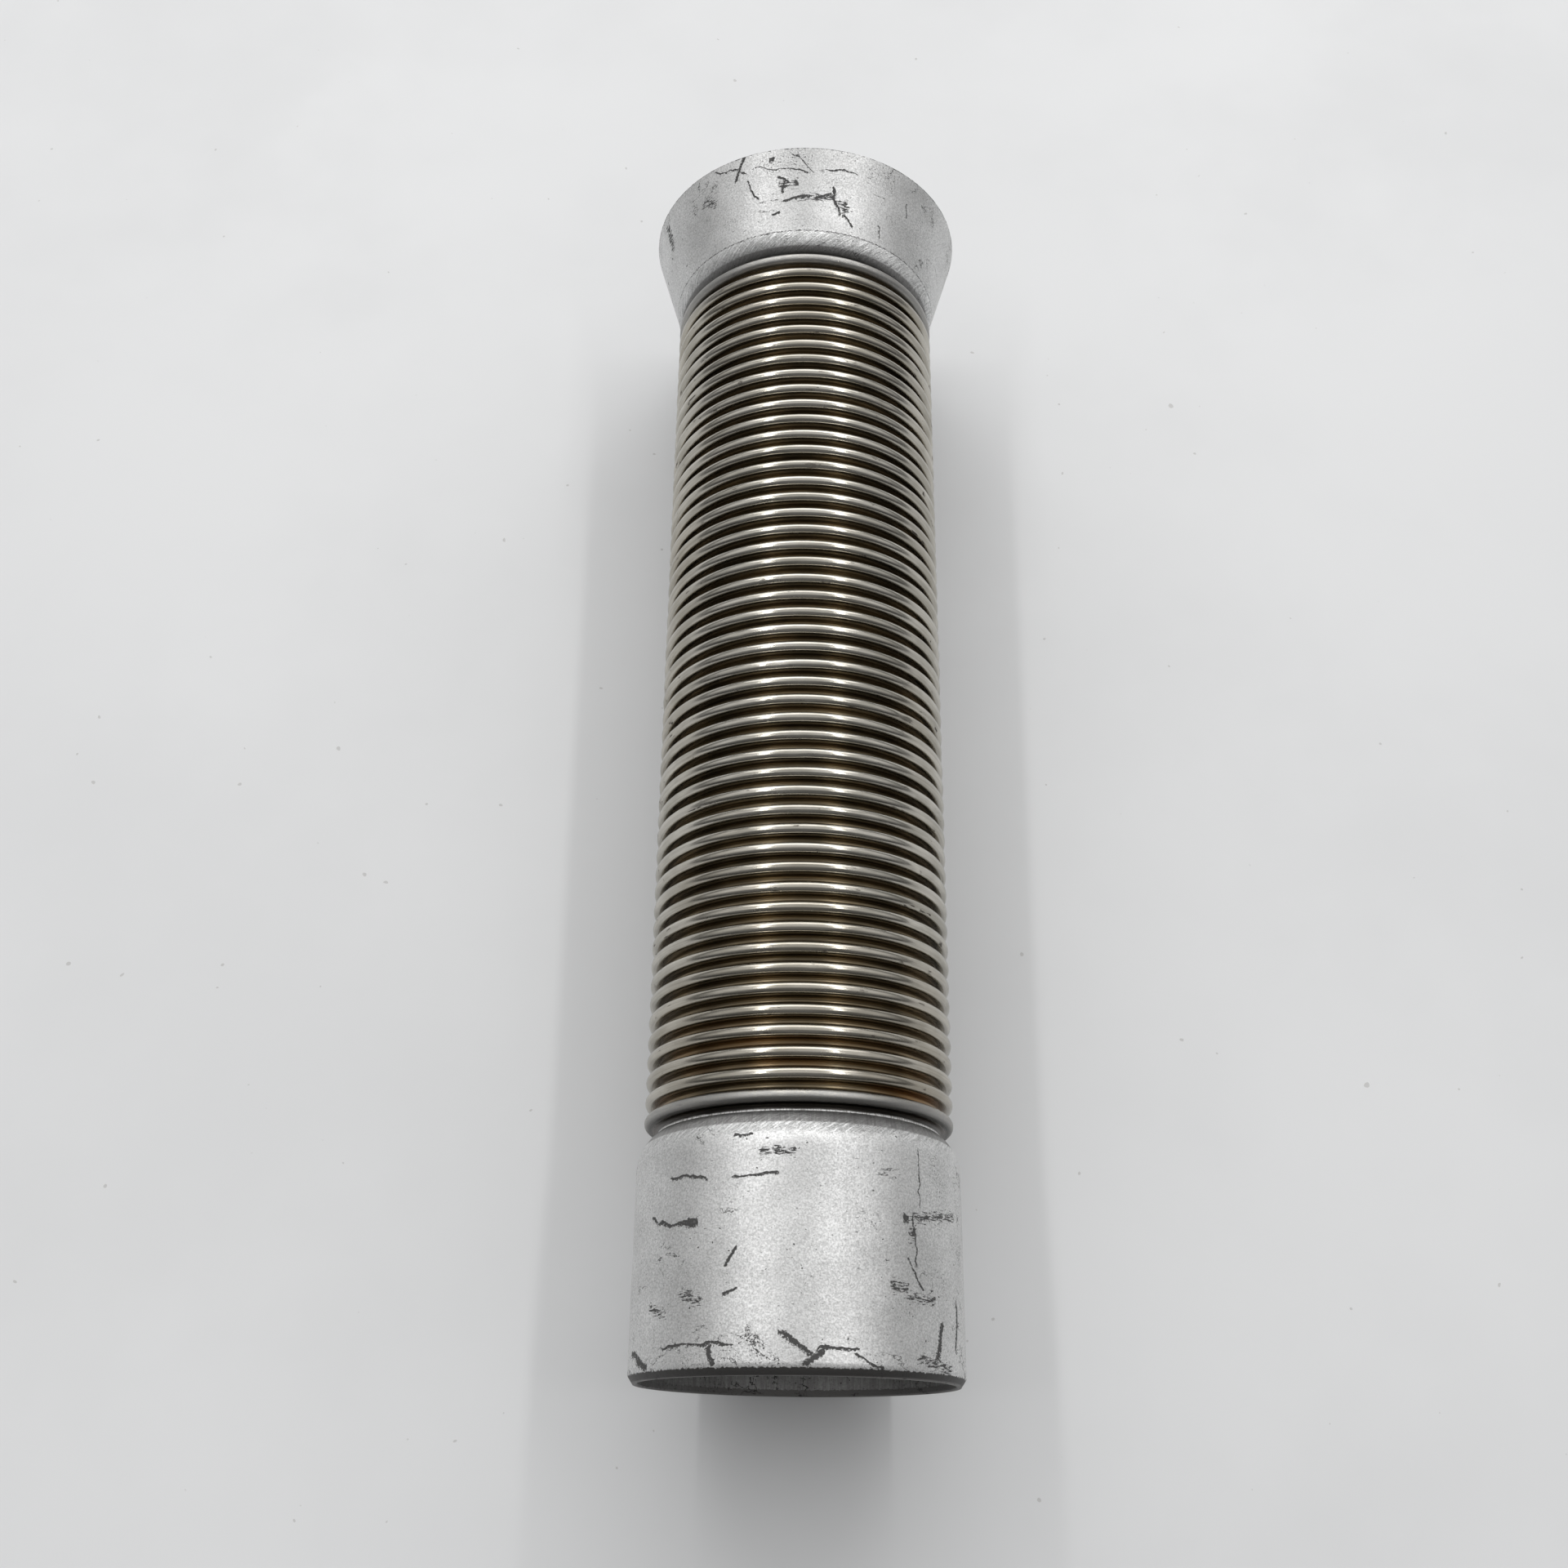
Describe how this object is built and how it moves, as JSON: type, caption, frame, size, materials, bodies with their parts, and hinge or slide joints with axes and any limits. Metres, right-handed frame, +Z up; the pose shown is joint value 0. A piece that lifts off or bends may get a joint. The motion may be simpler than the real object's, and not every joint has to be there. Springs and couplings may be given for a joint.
{
  "type": "metal bellows expansion joint",
  "caption": "Flexible metal exhaust pipe: an annular corrugated bellows over an interlocked liner, with a straight sleeve at one end and a flared collar at the other.",
  "frame": {"origin": "centre of the sleeve's open end, on the pipe's axis", "axes": "+Y along the pipe from the sleeve to the flare, +Z up when it lies on a table"},
  "size_m": [0.118, 0.4288, 0.118],
  "materials": {
    "silver_paint": "heat-resistant silver paint, scratched and dusty",
    "bellows_steel": "formed stainless steel with a warm heat tint",
    "liner_steel": "plain rolled strip",
    "weld_metal": "bright fusion weld"
  },
  "bodies": {
    "sleeve_end": {"sleeve": "silver_paint", "sleeve_weld": "weld_metal", "bellows_sleeve_end": "bellows_steel", "liner_sleeve_collar": "liner_steel", "liner_sleeve_weld": "weld_metal"},
    "link_01": {"bellows_pack_01": "bellows_steel", "liner_turn_01": "liner_steel"},
    "link_02": {"bellows_pack_02": "bellows_steel", "liner_turn_02": "liner_steel"},
    "link_03": {"bellows_pack_03": "bellows_steel", "liner_turn_03": "liner_steel"},
    "link_04": {"bellows_pack_04": "bellows_steel", "liner_turn_04": "liner_steel"},
    "link_05": {"bellows_pack_05": "bellows_steel", "liner_turn_05": "liner_steel"},
    "link_06": {"bellows_pack_06": "bellows_steel", "liner_turn_06": "liner_steel"},
    "link_07": {"bellows_pack_07": "bellows_steel", "liner_turn_07": "liner_steel"},
    "link_08": {"bellows_pack_08": "bellows_steel", "liner_turn_08": "liner_steel"},
    "link_09": {"bellows_pack_09": "bellows_steel", "liner_turn_09": "liner_steel"},
    "link_10": {"bellows_pack_10": "bellows_steel", "liner_turn_10": "liner_steel"},
    "link_11": {"bellows_pack_11": "bellows_steel", "liner_turn_11": "liner_steel"},
    "link_12": {"bellows_pack_12": "bellows_steel", "liner_turn_12": "liner_steel"},
    "link_13": {"bellows_pack_13": "bellows_steel", "liner_turn_13": "liner_steel"},
    "link_14": {"bellows_pack_14": "bellows_steel", "liner_turn_14": "liner_steel"},
    "link_15": {"bellows_pack_15": "bellows_steel", "liner_turn_15": "liner_steel"},
    "link_16": {"bellows_pack_16": "bellows_steel", "liner_turn_16": "liner_steel"},
    "link_17": {"bellows_pack_17": "bellows_steel", "liner_turn_17": "liner_steel"},
    "link_18": {"bellows_pack_18": "bellows_steel", "liner_turn_18": "liner_steel"},
    "link_19": {"bellows_pack_19": "bellows_steel", "liner_turn_19": "liner_steel"},
    "link_20": {"bellows_pack_20": "bellows_steel", "liner_turn_20": "liner_steel"},
    "link_21": {"bellows_pack_21": "bellows_steel", "liner_turn_21": "liner_steel"},
    "link_22": {"bellows_pack_22": "bellows_steel", "liner_turn_22": "liner_steel"},
    "link_23": {"bellows_pack_23": "bellows_steel", "liner_turn_23": "liner_steel"},
    "flare_end": {"flared_collar": "silver_paint", "flare_weld": "weld_metal", "bellows_flare_end": "bellows_steel", "liner_flare_collar": "liner_steel", "liner_flare_weld": "weld_metal"}
  },
  "joints": [
    {"name": "stretch_01", "type": "slide", "parent": "sleeve_end", "child": "link_01", "axis": [0, 1, 0], "range_m": [-0.0015, 0.001], "stiffness_N_per_m": 3000},
    {"name": "bend_up_01", "type": "hinge", "parent": "link_01", "child": "link_02", "pos_m": [0, 0.10004, 0], "axis": [1, 0, 0], "range_deg": [-2, 2], "stiffness_Nm_per_rad": 25},
    {"name": "stretch_02", "type": "slide", "parent": "link_02", "child": "link_03", "axis": [0, 1, 0], "range_m": [-0.0015, 0.001], "stiffness_N_per_m": 3000},
    {"name": "bend_side_01", "type": "hinge", "parent": "link_03", "child": "link_04", "pos_m": [0, 0.1258, 0], "axis": [0, 0, 1], "range_deg": [-2, 2], "stiffness_Nm_per_rad": 25},
    {"name": "stretch_03", "type": "slide", "parent": "link_04", "child": "link_05", "axis": [0, 1, 0], "range_m": [-0.0015, 0.001], "stiffness_N_per_m": 3000},
    {"name": "bend_up_02", "type": "hinge", "parent": "link_05", "child": "link_06", "pos_m": [0, 0.15156, 0], "axis": [1, 0, 0], "range_deg": [-2, 2], "stiffness_Nm_per_rad": 25},
    {"name": "stretch_04", "type": "slide", "parent": "link_06", "child": "link_07", "axis": [0, 1, 0], "range_m": [-0.0015, 0.001], "stiffness_N_per_m": 3000},
    {"name": "bend_side_02", "type": "hinge", "parent": "link_07", "child": "link_08", "pos_m": [0, 0.17732, 0], "axis": [0, 0, 1], "range_deg": [-2, 2], "stiffness_Nm_per_rad": 25},
    {"name": "stretch_05", "type": "slide", "parent": "link_08", "child": "link_09", "axis": [0, 1, 0], "range_m": [-0.0015, 0.001], "stiffness_N_per_m": 3000},
    {"name": "bend_up_03", "type": "hinge", "parent": "link_09", "child": "link_10", "pos_m": [0, 0.20308, 0], "axis": [1, 0, 0], "range_deg": [-2, 2], "stiffness_Nm_per_rad": 25},
    {"name": "stretch_06", "type": "slide", "parent": "link_10", "child": "link_11", "axis": [0, 1, 0], "range_m": [-0.0015, 0.001], "stiffness_N_per_m": 3000},
    {"name": "bend_side_03", "type": "hinge", "parent": "link_11", "child": "link_12", "pos_m": [0, 0.22884, 0], "axis": [0, 0, 1], "range_deg": [-2, 2], "stiffness_Nm_per_rad": 25},
    {"name": "stretch_07", "type": "slide", "parent": "link_12", "child": "link_13", "axis": [0, 1, 0], "range_m": [-0.0015, 0.001], "stiffness_N_per_m": 3000},
    {"name": "bend_up_04", "type": "hinge", "parent": "link_13", "child": "link_14", "pos_m": [0, 0.2546, 0], "axis": [1, 0, 0], "range_deg": [-2, 2], "stiffness_Nm_per_rad": 25},
    {"name": "stretch_08", "type": "slide", "parent": "link_14", "child": "link_15", "axis": [0, 1, 0], "range_m": [-0.0015, 0.001], "stiffness_N_per_m": 3000},
    {"name": "bend_side_04", "type": "hinge", "parent": "link_15", "child": "link_16", "pos_m": [0, 0.28036, 0], "axis": [0, 0, 1], "range_deg": [-2, 2], "stiffness_Nm_per_rad": 25},
    {"name": "stretch_09", "type": "slide", "parent": "link_16", "child": "link_17", "axis": [0, 1, 0], "range_m": [-0.0015, 0.001], "stiffness_N_per_m": 3000},
    {"name": "bend_up_05", "type": "hinge", "parent": "link_17", "child": "link_18", "pos_m": [0, 0.30612, 0], "axis": [1, 0, 0], "range_deg": [-2, 2], "stiffness_Nm_per_rad": 25},
    {"name": "stretch_10", "type": "slide", "parent": "link_18", "child": "link_19", "axis": [0, 1, 0], "range_m": [-0.0015, 0.001], "stiffness_N_per_m": 3000},
    {"name": "bend_side_05", "type": "hinge", "parent": "link_19", "child": "link_20", "pos_m": [0, 0.33188, 0], "axis": [0, 0, 1], "range_deg": [-2, 2], "stiffness_Nm_per_rad": 25},
    {"name": "stretch_11", "type": "slide", "parent": "link_20", "child": "link_21", "axis": [0, 1, 0], "range_m": [-0.0015, 0.001], "stiffness_N_per_m": 3000},
    {"name": "bend_up_06", "type": "hinge", "parent": "link_21", "child": "link_22", "pos_m": [0, 0.35764, 0], "axis": [1, 0, 0], "range_deg": [-2, 2], "stiffness_Nm_per_rad": 25},
    {"name": "stretch_12", "type": "slide", "parent": "link_22", "child": "link_23", "axis": [0, 1, 0], "range_m": [-0.0015, 0.001], "stiffness_N_per_m": 3000},
    {"name": "bend_side_06", "type": "hinge", "parent": "link_23", "child": "flare_end", "pos_m": [0, 0.3834, 0], "axis": [0, 0, 1], "range_deg": [-2, 2], "stiffness_Nm_per_rad": 25}
  ],
  "couplings": [
    {"joint": "stretch_02", "follows": "stretch_01", "ratio": 1},
    {"joint": "stretch_03", "follows": "stretch_01", "ratio": 1},
    {"joint": "bend_up_02", "follows": "bend_up_01", "ratio": 1},
    {"joint": "stretch_04", "follows": "stretch_01", "ratio": 1},
    {"joint": "bend_side_02", "follows": "bend_side_01", "ratio": 1},
    {"joint": "stretch_05", "follows": "stretch_01", "ratio": 1},
    {"joint": "bend_up_03", "follows": "bend_up_01", "ratio": 1},
    {"joint": "stretch_06", "follows": "stretch_01", "ratio": 1},
    {"joint": "bend_side_03", "follows": "bend_side_01", "ratio": 1},
    {"joint": "stretch_07", "follows": "stretch_01", "ratio": 1},
    {"joint": "stretch_08", "follows": "stretch_01", "ratio": 1},
    {"joint": "stretch_09", "follows": "stretch_01", "ratio": 1},
    {"joint": "bend_up_05", "follows": "bend_up_04", "ratio": 1},
    {"joint": "stretch_10", "follows": "stretch_01", "ratio": 1},
    {"joint": "bend_side_05", "follows": "bend_side_04", "ratio": 1},
    {"joint": "stretch_11", "follows": "stretch_01", "ratio": 1},
    {"joint": "bend_up_06", "follows": "bend_up_04", "ratio": 1},
    {"joint": "stretch_12", "follows": "stretch_01", "ratio": 1},
    {"joint": "bend_side_06", "follows": "bend_side_04", "ratio": 1}
  ]
}
